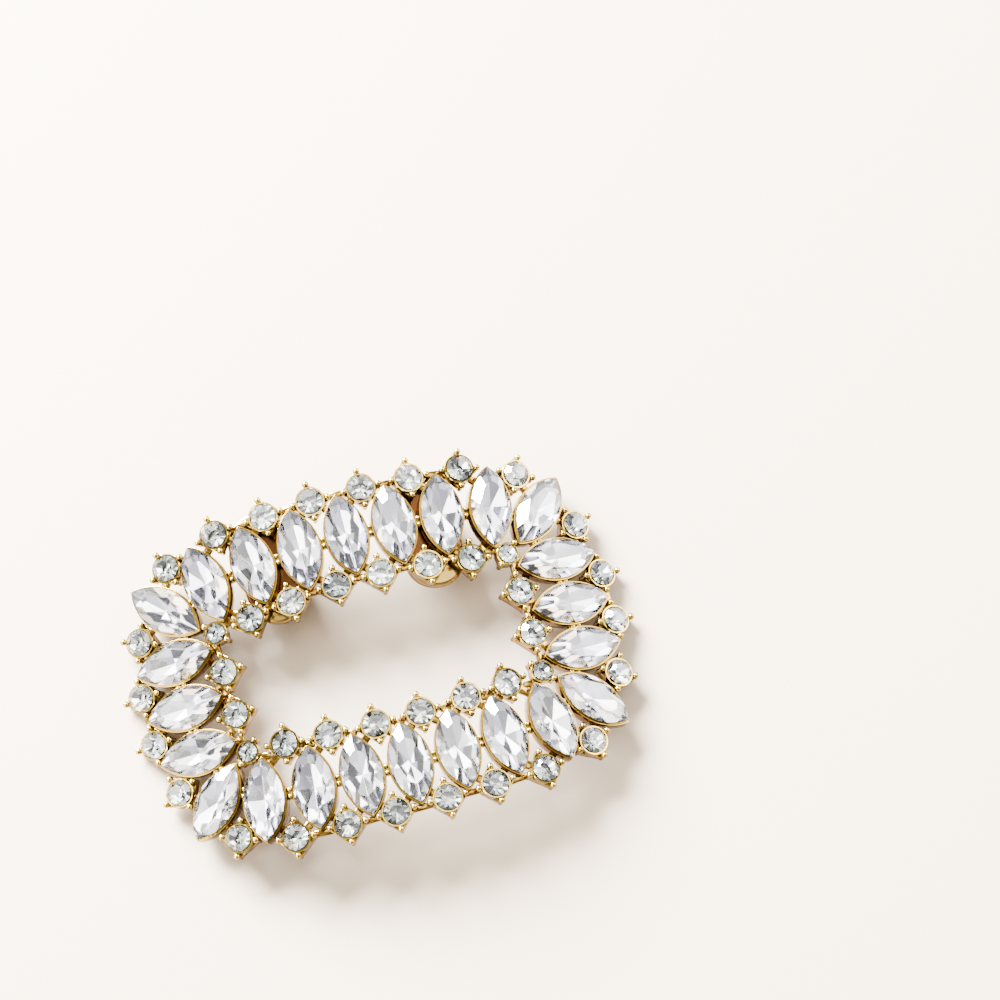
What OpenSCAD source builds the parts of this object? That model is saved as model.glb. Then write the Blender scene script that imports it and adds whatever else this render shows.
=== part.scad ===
// Arched shoe buckle: a cast ring of stone settings, with two spring clips behind its rear side.
// X runs along the ring, Y across it towards the clips, Z up out of its face; it stands at z = 0.

/* [Ring] */
// Radius of the arch that the face follows, about the Y axis
arch_r = 72; // [66:1:90]

/* [Stones] */
// Length of a boat-shaped stone, tip to tip
boat_l = 10.1; // [9.7:0.1:10.1]
// Width of a boat-shaped stone
boat_w = 5.1; // [4.7:0.1:5.1]
// Height of a boat-shaped stone's crown above its girdle
boat_crown = 1.1; // [0.8:0.1:1.4]
// Depth of a boat-shaped stone's back below its girdle
boat_back = 1.5; // [1.2:0.1:1.5]
// Diameter of a round stone
round_d = 3.2; // [3:0.05:3.25]
// Diameter of the smaller round stone in each inner corner
corner_d = 2.4; // [2.1:0.05:2.5]

/* [Settings] */
// Depth of a boat-shaped cup, girdle to underside
cup_h = 2; // [2:0.05:2.2]
// Wall of a boat-shaped cup, outside the stone
cup_wall = 0.2; // [0.18:0.01:0.26]
// Depth of a round setting, girdle to underside
seat_h = 1.8; // [1.8:0.05:1.95]
// Wall of a round setting's rim
rim_w = 0.2; // [0.14:0.02:0.24]
// Radius of a prong's ball
ball_r = 0.42; // [0.36:0.01:0.42]
// Radius of a prong's stem
stem_r = 0.32; // [0.28:0.01:0.34]
// Clearance round each stone
stone_gap = 0.05; // [0.03:0.01:0.08]

/* [Clips] */
// Width of a clip
clip_w = 7.2; // [6.4:0.1:7.4]
// Length of a clip
clip_l = 14.5; // [14:0.1:14.8]
// Slope of the closed lever, falling to the rear
lever_slope = 16.2; // [12:0.1:16.6]
// Radius of the hinge pin
pin_r = 0.5; // [0.4:0.05:0.55]

/* [Hidden] */
$fn = 48;

// Columns of the tables below
X = 0;
Y = 1;
TURN = 2;
OUTER_BAR = 3;
INNER_BAR = 4;
SIZE = 3;
STEP = 4;

// Boat-shaped stones of one quarter: place, turn of the outer tip from +Y to +X, bars at its tips
BOATS = [
    [0, 14.8, 0, 2.4, 1.4],
    [6.05, 14.6, 0, 2.4, 1.4],
    [12.1, 14.4, 6, 2.6, 1.6],
    [18.3, 14, 11, 0, 2],
    [24, 12.4, 44.5, 0, 0],
    [24.55, 5.85, 91, 0, 1.6],
    [24.7, 0, 90, 2, 1.6]
];
// Outer round stones of one quarter, each between two boat-shaped stones:
// place, turn, diameter, angle from one prong to the next
OUTER = [
    [3.25, 20.1, 0, round_d, 90],
    [9.35, 19.9, 3, round_d, 90],
    [15.8, 19.6, 8, round_d, 90],
    [22.55, 17.5, 22, round_d, 90],
    [28.12, 9.75, 68, round_d, 90],
    [29.65, 3.05, 90, round_d, 90]
];
// Inner round stones of one quarter, the fourth row in the corner: the same columns
INNER = [
    [2.85, 9, 0, round_d, 90],
    [8.75, 8.6, 2, round_d, 90],
    [14.15, 8.1, 8, round_d, 90],
    [18.75, 7.7, 45, corner_d, 180],
    [18.95, 2.75, 90, round_d, 90]
];
// Clips: place of each clip's middle and its turn
CLIPS = [
    [-10.9, 14.05, -6],
    [10.7, 13.25, 6]
];

// A row of a table in another quarter
function turned(row, sx, sy) = [
    sx * row[X],
    sy * row[Y],
    atan2(sx * sin(row[TURN]), sy * cos(row[TURN])),
    row[3],
    row[4]
];
// A quarter's rows taken clockwise round the ring; on_axis is 1 if the end rows lie on the axes
function all_round(rows, on_axis) = let (last = len(rows) - 1) concat(
    [for (i = [0:last]) turned(rows[i], 1, 1)],
    [for (i = [last - on_axis:-1:0]) turned(rows[i], 1, -1)],
    [for (i = [on_axis:last]) turned(rows[i], -1, -1)],
    [for (i = [last - on_axis:-1:on_axis]) turned(rows[i], -1, 1)]
);
boats = all_round(BOATS, 1);
outer_rounds = all_round(OUTER, 0);
inner_rounds = all_round(INNER, 0);
rounds = concat(outer_rounds, inner_rounds);

// Outline of a boat shape: two arcs of radius boat_r, each centred boat_off beyond the axis
boat_r = (pow(boat_l, 2) + pow(boat_w, 2)) / (4 * boat_w);
boat_off = boat_r - boat_w / 2;

// Heights from the girdle surface
boat_girdle = 0.34;
round_girdle = 0.14;
cup_rim = -0.3;
cup_floor = 0.4;
base_top = -0.95;
seat_floor = 0.34;
seat_rim = -0.2;
ball_z = -0.25;

// Sizes of a round setting; prong_out is a prong's distance from the middle, in stone radii
prong_out = 1.38;
flat_to_prong = 0.81;
corner_over = 0.05;
// Height at which the ring's face passes over the origin: its end settings stand at z = 0
end_turn = asin(OUTER[5][X] / arch_r);
prong_reach = prong_out * round_d / 2 + stem_r;
face_h = arch_r * (1 - cos(end_turn)) + seat_h * cos(end_turn) + prong_reach * sin(end_turn);

// Bars that join the settings
strut_w = 1;
strut_top = -1.1;
strut_reach = 1.7;
strut_start = 0.6;
wall_inset = 0.12;
bar_w = 0.8;
bar_out = 0.42;
tie_l = 1.5;
tie_top = -0.75;
bead_r = 0.38;
bead_out = 0.4;

// Clip sizes; heights run down from the underside of the cups
glue = 0.14;
plate_t = 0.9;
lever_t = 0.6;
pin_y = 2;
pin_drop = 1.25;
ear_r = 1.05;
ear_t = 0.55;
ear_edge = 0.15;
ear_gap = 0.1;
bore_gap = 0.02;
run_gap = 0.06;
lever_w = 7;
mouth_l = 8.8;
tail_l = 5.7;
dish_l = 4.4;
dish_rim_w = 0.5;
dish_rim_h = 0.35;
jaw_gap = 0.08;
pin_head_r = 0.85;
pin_head_t = 0.3;
head_gap = 0.05;
plate_under = -cup_h - glue - plate_t;
pin_z = plate_under - pin_drop;
ear_x = clip_w / 2 - ear_edge;
lever_ear_x = ear_x - ear_t - ear_gap;
// Depth of the lever's upper face below the pin, so that its closed mouth just clears the plate
lever_drop = dish_rim_h + (mouth_l * sin(lever_slope) - pin_drop + jaw_gap) / cos(lever_slope);

CLIP_SIDES = ["left", "right"];
BOAT_NODES = [for (i = [1:len(boats)]) str("boat_stone_", i < 10 ? "0" : "", i)];

// Puts its children on the arched face, with their Y axis turned from +Y towards +X
module on_face(x, y, turn = 0)
    translate([0, 0, face_h - arch_r])
        rotate([0, asin(x / arch_r), 0])
            translate([0, y, arch_r])
                rotate([0, 0, -turn])
                    children();

// Flat boat shape, grown by a margin
module boat_outline(grow = 0)
    intersection_for (side = [-1, 1])
        translate([side * boat_off, 0])
            circle(r = boat_r + grow, $fn = 180);

// One boat-shaped cup, open at its top
module boat_cup()
    difference() {
        translate([0, 0, -cup_h])
            linear_extrude(cup_h + cup_rim)
                boat_outline(cup_wall);
        translate([0, 0, cup_floor - cup_h])
            linear_extrude(cup_h)
                boat_outline(stone_gap);
    }

// A plain bar lying across a boat's tip, out of the way of its cup
module tip_bar(length, side)
    if (length > 0)
        translate([-length / 2, side * (boat_l / 2 + bar_out) - bar_w / 2, -seat_h])
            cube([length, bar_w, seat_h + strut_top]);

// One round setting: a square base with its corners at the prongs, a thin rim and two or four prongs
module round_setting(d, step) {
    out = prong_out * d / 2;
    difference() {
        union() {
            translate([0, 0, -seat_h])
                linear_extrude(seat_h + base_top)
                    intersection() {
                        rotate(45)
                            square(2 * flat_to_prong * out, center = true);
                        square(2 * (out + corner_over), center = true);
                    }
            translate([0, 0, -seat_h + seat_floor / 2])
                cylinder(r = d / 2 + stone_gap + rim_w, h = seat_h - seat_floor / 2 + seat_rim);
        }
        translate([0, 0, -seat_h + seat_floor])
            cylinder(r = d / 2 + stone_gap, h = seat_h);
    }
    for (a = [90:step:360])
        rotate(a)
            translate([out, 0, 0]) {
                translate([0, 0, -seat_h])
                    cylinder(r = stem_r, h = seat_h + ball_z, $fn = 24);
                translate([0, 0, ball_z])
                    sphere(r = ball_r, $fn = 24);
            }
}

// Place of a point in a boat's own axes
function in_boat(p, b) = let (dx = p[X] - b[X], dy = p[Y] - b[Y]) [
    dx * cos(b[TURN]) - dy * sin(b[TURN]),
    dx * sin(b[TURN]) + dy * cos(b[TURN])
];
// Distance from a point to a boat-shaped stone's edge
function boat_gap(p, b) = let (q = in_boat(p, b)) norm([abs(q[0]) + boat_off, q[1]]) - boat_r;
// Centre of the arc that faces a point
function arc_centre(p, b) = let (s = in_boat(p, b)[0] > 0 ? -boat_off : boat_off) [
    b[X] + s * cos(b[TURN]),
    b[Y] - s * sin(b[TURN])
];

// Bars from a round setting to each cup beside it
module struts(p)
    for (b = boats)
        if (boat_gap(p, b) - p[SIZE] / 2 < strut_reach) {
            c = arc_centre(p, b);
            on_face(p[X], p[Y], atan2(c[X] - p[X], c[Y] - p[Y]))
                translate([-strut_w / 2, strut_start, -seat_h])
                    cube([strut_w, boat_gap(p, b) - wall_inset - strut_start, seat_h + strut_top]);
        }

// The tie between two neighbouring cups, where they come closest: a bar with two beads
module tie(b, next) {
    c = arc_centre(next, b);
    e = arc_centre(b, next);
    span = norm(e - c);
    gap = span - 2 * boat_r;
    mid = (c + e) / 2;
    length = gap - 2 * wall_inset;
    on_face(mid[X], mid[Y], atan2(c[Y] - e[Y], e[X] - c[X])) {
        translate([-length / 2, -tie_l / 2, -seat_h])
            cube([length, tie_l, seat_h + tie_top]);
        for (side = [-1, 1])
            translate([0, side * bead_out, tie_top])
                sphere(r = bead_r, $fn = 24);
    }
}

// The whole casting
module setting_ring()
    color("goldenrod") {
        for (b = boats)
            on_face(b[X], b[Y], b[TURN]) {
                boat_cup();
                tip_bar(b[OUTER_BAR], 1);
                tip_bar(b[INNER_BAR], -1);
            }
        for (i = [0:len(boats) - 1])
            tie(boats[i], boats[(i + 1) % len(boats)]);
        for (p = rounds) {
            on_face(p[X], p[Y], p[TURN])
                round_setting(p[SIZE], p[STEP]);
            struts(p);
        }
    }

// Points round a boat-shaped stone's edge, 16 in all, the first at its inner tip
function boat_edge() = let (h = asin(boat_l / 2 / boat_r)) [
    for (side = [1, -1], i = [0:7]) let (a = side * h * (i - 4) / 4)
        [side * (boat_r * cos(a) - boat_off), boat_r * sin(a)]
];
// Points round a round stone's edge, 16 in all
function round_edge(d) = [for (i = [0:15]) d / 2 * [cos(22.5 * i), sin(22.5 * i)]];

// A cut stone on a 16-point edge: table of 8, stars, kites, girdle and a pointed back
module cut_stone(edge, crown, girdle, back, table) {
    mid_in = (1 + table) / 2 + 0.03;
    back_in = 0.42;
    function ring(from, scale, z) = [for (i = [from:2:15]) [scale * edge[i][X], scale * edge[i][Y], z]];
    points = concat(
        [for (p = edge) [p[X], p[Y], 0]],
        [for (p = edge) [p[X], p[Y], -girdle]],
        ring(0, table, crown),
        ring(1, mid_in, crown * 0.56),
        ring(1, back_in, -girdle - (back - girdle) * 0.6),
        [[0, 0, -back]]
    );
    lower = 16;
    top = 32;
    mid = 40;
    under = 48;
    tip = 56;
    faces = concat(
        [[for (k = [7:-1:0]) top + k]],
        [for (k = [0:7]) [top + k, top + (k + 1) % 8, mid + k]],
        [for (k = [0:7]) [top + k, mid + k, 2 * k]],
        [for (k = [0:7]) [top + k, 2 * k, mid + (k + 7) % 8]],
        [for (k = [0:7]) [mid + k, 2 * k + 1, 2 * k]],
        [for (k = [0:7]) [mid + k, (2 * k + 2) % 16, 2 * k + 1]],
        [for (i = [0:15]) [i, (i + 1) % 16, lower + (i + 1) % 16]],
        [for (i = [0:15]) [i, lower + (i + 1) % 16, lower + i]],
        [for (k = [0:7]) [lower + 2 * k, lower + 2 * k + 1, under + k]],
        [for (k = [0:7]) [lower + 2 * k + 1, lower + (2 * k + 2) % 16, under + k]],
        [for (k = [0:7]) [lower + 2 * k, under + k, tip]],
        [for (k = [0:7]) [lower + (2 * k + 2) % 16, tip, under + k]]
    );
    polyhedron(points, faces);
}

boat_table = 0.56;
round_table = 0.54;
round_crown = 0.22;
round_back = 0.43;

module boat_stone(i)
    color("aliceblue")
        on_face(boats[i][X], boats[i][Y], boats[i][TURN])
            cut_stone(boat_edge(), boat_crown, boat_girdle, boat_back, boat_table);

module round_stones(places, d)
    color("whitesmoke")
        for (p = places)
            if (p[SIZE] == d)
                on_face(p[X], p[Y], p[TURN])
                    cut_stone(round_edge(d), d * round_crown, round_girdle, d * round_back, round_table);

// Puts its children at a clip's place
module at_clip(i)
    on_face(CLIPS[i][X], CLIPS[i][Y], CLIPS[i][TURN])
        children();

// Flat strip with round ends, between two distances along Y
module round_ended(width, from, to) {
    translate([-width / 2, from + width / 2])
        square([width, to - from - width]);
    for (y = [from + width / 2, to - width / 2])
        translate([0, y])
            circle(d = width, $fn = 96);
}

// A pair of hinge ears round the pin's line, up or down to a height, bored for the pin
module ears(outer_x, reach, bore_r)
    for (e = [0, 1])
        mirror([e, 0, 0])
            translate([outer_x - ear_t, 0, 0])
                rotate([90, 0, 90])
                    linear_extrude(ear_t)
                        difference() {
                            union() {
                                circle(r = ear_r);
                                translate([-ear_r, min(0, reach)])
                                    square([2 * ear_r, abs(reach)]);
                            }
                            circle(r = bore_r);
                        }

// The fixed plate, stuck to the underside of the cups, with ears for the pin
module clip_plate(i)
    color("darkgoldenrod")
        at_clip(i) {
            translate([0, 0, plate_under])
                linear_extrude(plate_t)
                    round_ended(clip_w, -clip_l / 2, clip_l / 2);
            translate([0, pin_y, pin_z])
                ears(ear_x, pin_drop + plate_t / 2, pin_r + bore_gap);
        }

// The sprung lever: its mouth end is dished and closes on the plate, its tail is pressed to open it
module clip_lever(i)
    color("gold")
        at_clip(i)
            translate([0, pin_y, pin_z])
                rotate([-lever_slope, 0, 0]) {
                    translate([0, 0, -lever_drop - lever_t])
                        linear_extrude(lever_t)
                            round_ended(lever_w, -mouth_l, tail_l);
                    translate([0, 0, -lever_drop - lever_t / 2])
                        linear_extrude(lever_t / 2 + dish_rim_h)
                            intersection() {
                                difference() {
                                    round_ended(lever_w, -mouth_l, tail_l);
                                    round_ended(lever_w - 2 * dish_rim_w, dish_rim_w - mouth_l, tail_l);
                                }
                                translate([-lever_w, -mouth_l - 1])
                                    square([2 * lever_w, dish_l + 1]);
                            }
                    ears(lever_ear_x, -lever_drop - lever_t / 2, pin_r + run_gap);
                }

// The pin that the lever turns on, with a riveted head at each end
module hinge_pin(i)
    color("peru")
        at_clip(i)
            translate([0, pin_y, pin_z])
                rotate([0, 90, 0]) {
                    translate([0, 0, -ear_x - head_gap - pin_head_t])
                        cylinder(r = pin_r, h = 2 * (ear_x + head_gap + pin_head_t));
                    for (e = [0, 1])
                        mirror([0, 0, e])
                            translate([0, 0, ear_x + head_gap])
                                cylinder(r = pin_head_r, h = pin_head_t);
                }

setting_ring();
round_stones(outer_rounds, round_d);  // outer_round_stones
round_stones(inner_rounds, round_d);  // inner_round_stones
round_stones(inner_rounds, corner_d);  // corner_round_stones
for (i = [0:len(boats) - 1])
    boat_stone(i);
for (i = [0:len(CLIPS) - 1]) {
    clip_plate(i);
    clip_lever(i);
    hinge_pin(i);
}
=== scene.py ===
"""Jewelled shoe buckle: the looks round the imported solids, laid out as an add-on and run as a script."""

import math
import random

import bmesh
import bpy
from bpy.props import FloatProperty, FloatVectorProperty, IntProperty, PointerProperty
from mathutils import Matrix, Vector


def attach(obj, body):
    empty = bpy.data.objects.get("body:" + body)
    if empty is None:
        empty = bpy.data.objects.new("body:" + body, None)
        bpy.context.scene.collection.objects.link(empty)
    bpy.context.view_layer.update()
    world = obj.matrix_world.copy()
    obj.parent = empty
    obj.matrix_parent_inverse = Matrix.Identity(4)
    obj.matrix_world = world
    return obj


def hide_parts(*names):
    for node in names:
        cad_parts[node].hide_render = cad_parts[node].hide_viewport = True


bl_info = {
    "name": "Shoe buckle",
    "version": (1, 0, 0),
    "blender": (4, 5, 0),
    "location": "3D View > Sidebar > Buckle",
    "description": "Builds the casting, cut stones, clips and stage of a jewelled shoe buckle",
    "category": "Object",
}

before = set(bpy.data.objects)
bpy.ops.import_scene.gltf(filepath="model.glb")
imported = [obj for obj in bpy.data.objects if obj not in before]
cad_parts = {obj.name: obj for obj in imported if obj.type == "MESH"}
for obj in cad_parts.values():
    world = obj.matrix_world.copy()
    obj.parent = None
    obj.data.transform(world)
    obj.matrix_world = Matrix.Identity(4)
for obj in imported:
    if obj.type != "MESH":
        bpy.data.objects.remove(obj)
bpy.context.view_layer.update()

# Shapes are worked out in millimetres and degrees, and become metres in finish_piece.

# Sizes that the solids share
ARCH_R = 72.0
SEAT_H = 1.8
CUP_H = 2.0
BOAT_L = 10.1
BOAT_W = 5.1
ROUND_D = 3.2
CORNER_D = 2.4
PRONG_OUT = 1.38
STEM_R = 0.32
END_X = 29.65

# Boat-shaped stones of one quarter: x, y, turn, bar at the outer tip, bar at the inner tip
BOATS = [
    (0, 14.8, 0, 2.4, 1.4),
    (6.05, 14.6, 0, 2.4, 1.4),
    (12.1, 14.4, 6, 2.6, 1.6),
    (18.3, 14, 11, 0, 2),
    (24, 12.4, 44.5, 0, 0),
    (24.55, 5.85, 91, 0, 1.6),
    (24.7, 0, 90, 2, 1.6),
]
# Outer and inner round stones of one quarter: x, y, turn, diameter, angle between prongs
OUTER = [
    (3.25, 20.1, 0, ROUND_D, 90),
    (9.35, 19.9, 3, ROUND_D, 90),
    (15.8, 19.6, 8, ROUND_D, 90),
    (22.55, 17.5, 22, ROUND_D, 90),
    (28.12, 9.75, 68, ROUND_D, 90),
    (29.65, 3.05, 90, ROUND_D, 90),
]
INNER = [
    (2.85, 9, 0, ROUND_D, 90),
    (8.75, 8.6, 2, ROUND_D, 90),
    (14.15, 8.1, 8, ROUND_D, 90),
    (18.75, 7.7, 45, CORNER_D, 180),
    (18.95, 2.75, 90, ROUND_D, 90),
]
# Clips: x, y, turn
CLIPS = {"left": (-10.9, 14.05, -6), "right": (10.7, 13.25, 6)}


def turned(row, sx, sy):
    """A stone's row mirrored into another quarter."""
    turn = math.radians(row[2])
    return (sx * row[0], sy * row[1], math.degrees(math.atan2(sx * math.sin(turn), sy * math.cos(turn))), *row[3:])


def all_round(rows, on_axis):
    """A quarter's rows, clockwise round the ring. on_axis is 1 if the quarter's end rows lie on the axes, else 0."""
    back = rows[: len(rows) - on_axis][::-1]
    return (
        [turned(r, 1, 1) for r in rows]
        + [turned(r, 1, -1) for r in back]
        + [turned(r, -1, -1) for r in rows[on_axis:]]
        + [turned(r, -1, 1) for r in back[: len(back) - on_axis]]
    )


boats = all_round(BOATS, 1)
outer_rounds = all_round(OUTER, 0)
inner_rounds = all_round(INNER, 0)
rounds = outer_rounds + inner_rounds

BOAT_R = (BOAT_L**2 + BOAT_W**2) / (4 * BOAT_W)
BOAT_OFF = BOAT_R - BOAT_W / 2
END_LEAN = math.asin(END_X / ARCH_R)
FACE_H = (
    ARCH_R * (1 - math.cos(END_LEAN))
    + SEAT_H * math.cos(END_LEAN)
    + (PRONG_OUT * ROUND_D / 2 + STEM_R) * math.sin(END_LEAN)
)
MM_PER_METRE = 1000
TO_METRES = Matrix.Scale(1 / MM_PER_METRE, 4)


def on_face(x, y, turn=0.0):
    """Place on the arched face at the stones' girdle, with its Y axis turned from +Y towards +X."""
    return (
        Matrix.Translation((0, 0, FACE_H - ARCH_R))
        @ Matrix.Rotation(math.asin(x / ARCH_R), 4, "Y")
        @ Matrix.Translation((0, y, ARCH_R))
        @ Matrix.Rotation(-math.radians(turn), 4, "Z")
    )


def in_boat(p, b):
    """A point in a boat-shaped stone's own axes."""
    dx, dy, turn = p[0] - b[0], p[1] - b[1], math.radians(b[2])
    return (dx * math.cos(turn) - dy * math.sin(turn), dx * math.sin(turn) + dy * math.cos(turn))


def boat_gap(p, b):
    """Distance from a point to a boat-shaped stone's edge."""
    u, v = in_boat(p, b)
    return math.hypot(abs(u) + BOAT_OFF, v) - BOAT_R


def arc_centre(p, b):
    """Centre of the arc that faces a point."""
    turn = math.radians(b[2])
    off = -BOAT_OFF if in_boat(p, b)[0] > 0 else BOAT_OFF
    return (b[0] + off * math.cos(turn), b[1] - off * math.sin(turn))


# ---- properties


class BuckleSizes(bpy.types.PropertyGroup):
    """Sizes of the casting and the clips."""

    cup_wall: FloatProperty(
        name="Cup wall", description="Wall of a boat-shaped cup, outside the stone", default=0.00023, unit="LENGTH"
    )
    cup_rim: FloatProperty(
        name="Cup rim", description="Height of a boat-shaped cup's rim from the girdle",
        default=-0.0003, unit="LENGTH",
    )
    rim_width: FloatProperty(
        name="Rim width", description="Wall of a round setting's rim", default=0.00025, unit="LENGTH"
    )
    ball: FloatProperty(name="Prong ball", description="Radius of a prong's ball", default=0.00042, unit="LENGTH")
    soft_edge: FloatProperty(
        name="Soft edge", description="Rounding of the casting's edges", default=0.00005, unit="LENGTH"
    )
    clip_width: FloatProperty(name="Clip width", description="Width of a clip", default=0.0072, unit="LENGTH")
    clip_length: FloatProperty(name="Clip length", description="Length of a clip", default=0.0145, unit="LENGTH")


class StoneSizes(bpy.types.PropertyGroup):
    """How the stones are cut and set."""

    boat_crown: FloatProperty(
        name="Boat crown", description="Height of a boat-shaped stone above its girdle", default=0.0011, unit="LENGTH"
    )
    boat_back: FloatProperty(
        name="Boat back", description="Depth of a boat-shaped stone below its girdle", default=0.0015, unit="LENGTH"
    )
    girdle: FloatProperty(
        name="Girdle", description="Thickness of a boat-shaped stone's girdle", default=0.00034, unit="LENGTH"
    )
    boat_table: FloatProperty(
        name="Boat table", description="Table of a boat-shaped stone, as a share of its size", default=0.58
    )
    round_table: FloatProperty(
        name="Round table", description="Table of a round stone, as a share of its size", default=0.54
    )
    unevenness: FloatProperty(
        name="Unevenness", description="Largest tilt of a hand-set stone", default=math.radians(1.6), subtype="ANGLE"
    )
    seed: IntProperty(name="Seed", description="Order of the hand-set stones' tilts", default=11)


class BuckleColours(bpy.types.PropertyGroup):
    """Colours of the finishes and the stage."""

    gold: FloatVectorProperty(
        name="Gold", description="Plating on raised metal", default=(0.37, 0.255, 0.043), subtype="COLOR", size=3
    )
    # Painted shade: darker gold low down between the stones, where the shade falls
    shade_gold: FloatVectorProperty(
        name="Shade gold", description="Painted shade low down between the stones",
        default=(0.11, 0.033, 0.003), subtype="COLOR", size=3,
    )
    # Painted shade: a darker copy of the casting's gold on the boat-shaped cups
    shaded_cup_gold: FloatVectorProperty(
        name="Shaded cup gold", description="Painted shade on the boat-shaped cups",
        default=(0.175, 0.105, 0.013), subtype="COLOR", size=3,
    )
    patch_gold: FloatVectorProperty(
        name="Patch gold", description="Darker patches of the plating",
        default=(0.12, 0.06, 0.008), subtype="COLOR", size=3,
    )
    clip_gold: FloatVectorProperty(
        name="Clip gold", description="Plating on the clips", default=(0.25, 0.155, 0.034), subtype="COLOR", size=3
    )
    # Painted shade on the clips' tops where they lie under the ring
    clip_shade: FloatVectorProperty(
        name="Clip shade", description="Painted shade on the clips under the ring",
        default=(0.045, 0.017, 0.005), subtype="COLOR", size=3,
    )
    foil: FloatVectorProperty(
        name="Foil", description="Silver foil behind the boat-shaped stones",
        default=(0.93, 0.93, 0.95), subtype="COLOR", size=3,
    )
    round_foil: FloatVectorProperty(
        name="Round foil", description="Silver foil behind the round stones",
        default=(0.97, 0.99, 0.95), subtype="COLOR", size=3,
    )
    floor: FloatVectorProperty(
        name="Floor", description="Pale floor", default=(0.22, 0.166, 0.105), subtype="COLOR", size=3
    )


def mm(length):
    """A length property in millimetres."""
    return length * MM_PER_METRE


# ---- shared mesh helpers

# Faces of a smooth piece from this size up, in square metres, stay flat
FLAT_AREA = 2e-6
WELD = 1e-4
LEVEL = 1e-3
# An upright edge rises by more than the first and leans by less than the second
UPRIGHT_RISE, UPRIGHT_LEAN, UPRIGHT_CORNER = 0.3, 0.05, 0.5
ROUND_STEPS = 32
STRIP_END_STEPS = 20
FULL_TURN = 2 * math.pi


def finish_piece(bm, name, materials, body, replaced, smooth_angle=None):
    """Makes a bmesh in millimetres a piece of the part, which rides on a body and stands for CAD nodes."""
    bmesh.ops.transform(bm, matrix=TO_METRES, verts=bm.verts)
    mesh = bpy.data.meshes.new(name)
    bm.to_mesh(mesh)
    bm.free()
    if smooth_angle is not None:
        mesh.shade_smooth()
        mesh.set_sharp_from_angle(angle=smooth_angle)
        for polygon in mesh.polygons:
            polygon.use_smooth = polygon.area < FLAT_AREA
    for material in materials:
        mesh.materials.append(material)
    piece = bpy.data.objects.new(name, mesh)
    bpy.context.scene.collection.objects.link(piece)
    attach(piece, body)
    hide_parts(*replaced)
    return piece


def stamp(bm, pattern, place):
    """Adds a copy of a pattern mesh at a place."""
    copy = pattern.copy()
    copy.transform(place)
    bm.from_mesh(copy)
    bpy.data.meshes.remove(copy)


def join(bm, part):
    """Moves the shape of one bmesh into another."""
    mesh = bpy.data.meshes.new("part")
    part.to_mesh(mesh)
    part.free()
    bm.from_mesh(mesh)
    bpy.data.meshes.remove(mesh)


def as_pattern(bm, name):
    """Keeps a bmesh as a pattern mesh, its normals facing out."""
    bmesh.ops.recalc_face_normals(bm, faces=bm.faces)
    mesh = bpy.data.meshes.new(name)
    bm.to_mesh(mesh)
    bm.free()
    return mesh


def soften(bm, edges, offset, segments=2):
    """Rounds edges."""
    bmesh.ops.bevel(
        bm,
        geom=list(edges),
        offset=offset,
        offset_type="OFFSET",
        segments=segments,
        profile=0.5,
        affect="EDGES",
        clamp_overlap=True,
        material=-1,
    )


def turn_vert(bm, place, centre, angle, steps):
    """Sweeps a vertex round a centre, into an arc."""
    first = bm.verts.new(place)
    bmesh.ops.spin(bm, geom=[first], cent=centre, axis=(0, 0, 1), angle=angle, steps=steps, use_duplicate=False)


def turn_profile(bm, profile):
    """Turns a profile of radii and heights once round the Z axis."""
    verts = [bm.verts.new((r, 0, z)) for r, z in profile]
    edges = [bm.edges.new(pair) for pair in zip(verts, verts[1:])]
    bmesh.ops.spin(
        bm,
        geom=verts + edges,
        cent=(0, 0, 0),
        axis=(0, 0, 1),
        angle=FULL_TURN,
        steps=ROUND_STEPS,
        use_merge=True,
    )


def fill(bm):
    """Fills the closed outline in a bmesh with one face."""
    return bmesh.ops.contextual_create(bm, geom=bm.edges[:])["faces"][0]


def loose_ends(bm):
    """Vertices at the ends of an open outline."""
    return [v for v in bm.verts if len(v.link_edges) == 1]


def boat_face(bm, grow, z, steps):
    """Boat-shaped face, grown by a margin."""
    reach = BOAT_R + grow
    half = math.acos(BOAT_OFF / reach)
    turn_vert(bm, (reach * math.cos(half) - BOAT_OFF, -reach * math.sin(half), z), (-BOAT_OFF, 0, z), 2 * half, steps)
    turn_vert(bm, (BOAT_OFF - reach * math.cos(half), reach * math.sin(half), z), (BOAT_OFF, 0, z), 2 * half, steps)
    bmesh.ops.remove_doubles(bm, verts=bm.verts, dist=WELD)
    return fill(bm)


def round_ended_face(bm, width, start, end, z):
    """Strip with round ends, between two distances along Y."""
    r = width / 2
    turn_vert(bm, (-r, start + r, z), (0, start + r, z), math.pi, STRIP_END_STEPS)
    turn_vert(bm, (r, end - r, z), (0, end - r, z), math.pi, STRIP_END_STEPS)
    bmesh.ops.remove_doubles(bm, verts=bm.verts, dist=WELD)
    ends = loose_ends(bm)
    for x in (-r, r):
        bm.edges.new([v for v in ends if abs(v.co.x - x) < LEVEL])
    return fill(bm)


def raise_face(bm, face, height):
    """Makes a solid of a lone face by giving it a height, and returns the new end face."""
    grown = bmesh.ops.extrude_face_region(bm, geom=[face])["geom"]
    bmesh.ops.translate(bm, vec=(0, 0, height), verts=[g for g in grown if isinstance(g, bmesh.types.BMVert)])
    return next(g for g in grown if isinstance(g, bmesh.types.BMFace))


def sink_face(bm, face, wall, depth):
    """Hollows a solid from one of its faces, leaving a wall round it."""
    bmesh.ops.inset_region(bm, faces=[face], thickness=wall, use_even_offset=True, use_boundary=True)
    sunk = bmesh.ops.extrude_discrete_faces(bm, faces=[face])["faces"][0]
    bmesh.ops.translate(bm, vec=(0, 0, -depth), verts=sunk.verts)


def level_edges(bm, z):
    """Edges that lie at a height."""
    return [e for e in bm.edges if all(abs(v.co.z - z) < LEVEL for v in e.verts)]


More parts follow.
